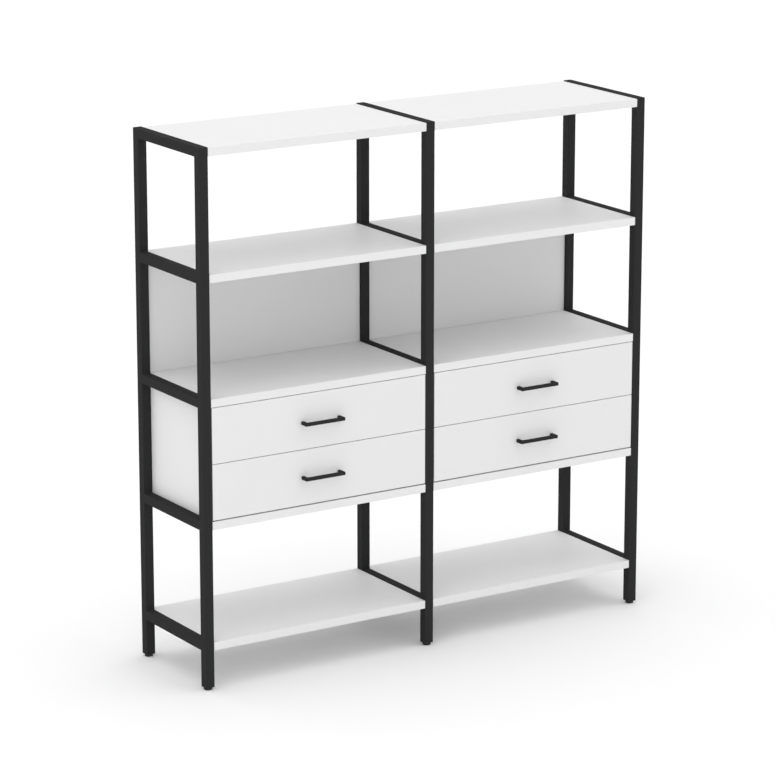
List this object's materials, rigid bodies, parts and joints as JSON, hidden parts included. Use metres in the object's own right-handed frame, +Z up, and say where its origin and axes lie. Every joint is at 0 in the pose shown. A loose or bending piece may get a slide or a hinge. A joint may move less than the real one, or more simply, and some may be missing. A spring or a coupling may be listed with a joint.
{
  "type": "shelving unit with drawers",
  "caption": "Open shelving unit of black square-tube side frames and white boards, with back panels, a drawer cabinet in each bay, bar handles and levelling feet.",
  "frame": {"origin": "on the floor, under the middle of the object's box with the drawers closed and the handles included", "axes": "+Z up, the front with the drawers faces -Y, +X to the right as seen from the front"},
  "size_m": [1.6, 0.43, 1.6575],
  "materials": {
    "powder_coated_steel": "fine matt powder coat",
    "handle_bar": "matt powder coat",
    "laminated_board": "white melamine laminate, fine matt grain, edge banded",
    "drawer_wrap": "white foil wrap, smooth",
    "zinc_plated_steel": "bright zinc plate",
    "black_plastic": "moulded, satin"
  },
  "bodies": {
    "shelving_frame": {"side_frame_left": "powder_coated_steel", "side_frame_middle": "powder_coated_steel", "side_frame_right": "powder_coated_steel", "bottom_shelf_left": "laminated_board", "cabinet_floor_left": "laminated_board", "cabinet_top_left": "laminated_board", "upper_shelf_left": "laminated_board", "top_board_left": "laminated_board", "back_panel_left": "laminated_board", "cabinet_side_lh_left": "laminated_board", "cabinet_side_rh_left": "laminated_board", "cabinet_back_left": "laminated_board", "runner_channel_left_lower_lh": "zinc_plated_steel", "runner_channel_left_lower_rh": "zinc_plated_steel", "runner_channel_left_upper_lh": "zinc_plated_steel", "runner_channel_left_upper_rh": "zinc_plated_steel", "bottom_shelf_right": "laminated_board", "cabinet_floor_right": "laminated_board", "cabinet_top_right": "laminated_board", "upper_shelf_right": "laminated_board", "top_board_right": "laminated_board", "back_panel_right": "laminated_board", "cabinet_side_lh_right": "laminated_board", "cabinet_side_rh_right": "laminated_board", "cabinet_back_right": "laminated_board", "runner_channel_right_lower_lh": "zinc_plated_steel", "runner_channel_right_lower_rh": "zinc_plated_steel", "runner_channel_right_upper_lh": "zinc_plated_steel", "runner_channel_right_upper_rh": "zinc_plated_steel"},
    "drawer_left_upper": {"drawer_front_left_upper": "laminated_board", "drawer_wrap_left_upper": "drawer_wrap", "drawer_bottom_left_upper": "drawer_wrap", "drawer_handle_left_upper": "handle_bar", "runner_slide_left_upper_lh": "zinc_plated_steel", "runner_slide_left_upper_rh": "zinc_plated_steel"},
    "drawer_left_lower": {"drawer_front_left_lower": "laminated_board", "drawer_wrap_left_lower": "drawer_wrap", "drawer_bottom_left_lower": "drawer_wrap", "drawer_handle_left_lower": "handle_bar", "runner_slide_left_lower_lh": "zinc_plated_steel", "runner_slide_left_lower_rh": "zinc_plated_steel"},
    "drawer_right_upper": {"drawer_front_right_upper": "laminated_board", "drawer_wrap_right_upper": "drawer_wrap", "drawer_bottom_right_upper": "drawer_wrap", "drawer_handle_right_upper": "handle_bar", "runner_slide_right_upper_lh": "zinc_plated_steel", "runner_slide_right_upper_rh": "zinc_plated_steel"},
    "drawer_right_lower": {"drawer_front_right_lower": "laminated_board", "drawer_wrap_right_lower": "drawer_wrap", "drawer_bottom_right_lower": "drawer_wrap", "drawer_handle_right_lower": "handle_bar", "runner_slide_right_lower_lh": "zinc_plated_steel", "runner_slide_right_lower_rh": "zinc_plated_steel"},
    "levelling_foot_front_left": {"foot_front_left": "black_plastic"},
    "levelling_foot_front_middle": {"foot_front_middle": "black_plastic"},
    "levelling_foot_front_right": {"foot_front_right": "black_plastic"},
    "levelling_foot_rear_left": {"foot_rear_left": "black_plastic"},
    "levelling_foot_rear_middle": {"foot_rear_middle": "black_plastic"},
    "levelling_foot_rear_right": {"foot_rear_right": "black_plastic"}
  },
  "joints": [
    {"name": "drawer_left_upper_slide", "type": "slide", "parent": "shelving_frame", "child": "drawer_left_upper", "axis": [0, -1, 0], "range_m": [0, 0.25]},
    {"name": "drawer_left_lower_slide", "type": "slide", "parent": "shelving_frame", "child": "drawer_left_lower", "axis": [0, -1, 0], "range_m": [0, 0.25]},
    {"name": "drawer_right_upper_slide", "type": "slide", "parent": "shelving_frame", "child": "drawer_right_upper", "axis": [0, -1, 0], "range_m": [0, 0.25]},
    {"name": "drawer_right_lower_slide", "type": "slide", "parent": "shelving_frame", "child": "drawer_right_lower", "axis": [0, -1, 0], "range_m": [0, 0.25]},
    {"name": "foot_front_left_turn", "type": "hinge", "parent": "shelving_frame", "child": "levelling_foot_front_left", "pos_m": [-0.785, -0.17, 0], "axis": [0, 0, 1], "continuous": true},
    {"name": "foot_front_middle_turn", "type": "hinge", "parent": "shelving_frame", "child": "levelling_foot_front_middle", "pos_m": [0, -0.17, 0], "axis": [0, 0, 1], "continuous": true},
    {"name": "foot_front_right_turn", "type": "hinge", "parent": "shelving_frame", "child": "levelling_foot_front_right", "pos_m": [0.785, -0.17, 0], "axis": [0, 0, 1], "continuous": true},
    {"name": "foot_rear_left_turn", "type": "hinge", "parent": "shelving_frame", "child": "levelling_foot_rear_left", "pos_m": [-0.785, 0.2, 0], "axis": [0, 0, 1], "continuous": true},
    {"name": "foot_rear_middle_turn", "type": "hinge", "parent": "shelving_frame", "child": "levelling_foot_rear_middle", "pos_m": [0, 0.2, 0], "axis": [0, 0, 1], "continuous": true},
    {"name": "foot_rear_right_turn", "type": "hinge", "parent": "shelving_frame", "child": "levelling_foot_rear_right", "pos_m": [0.785, 0.2, 0], "axis": [0, 0, 1], "continuous": true}
  ]
}
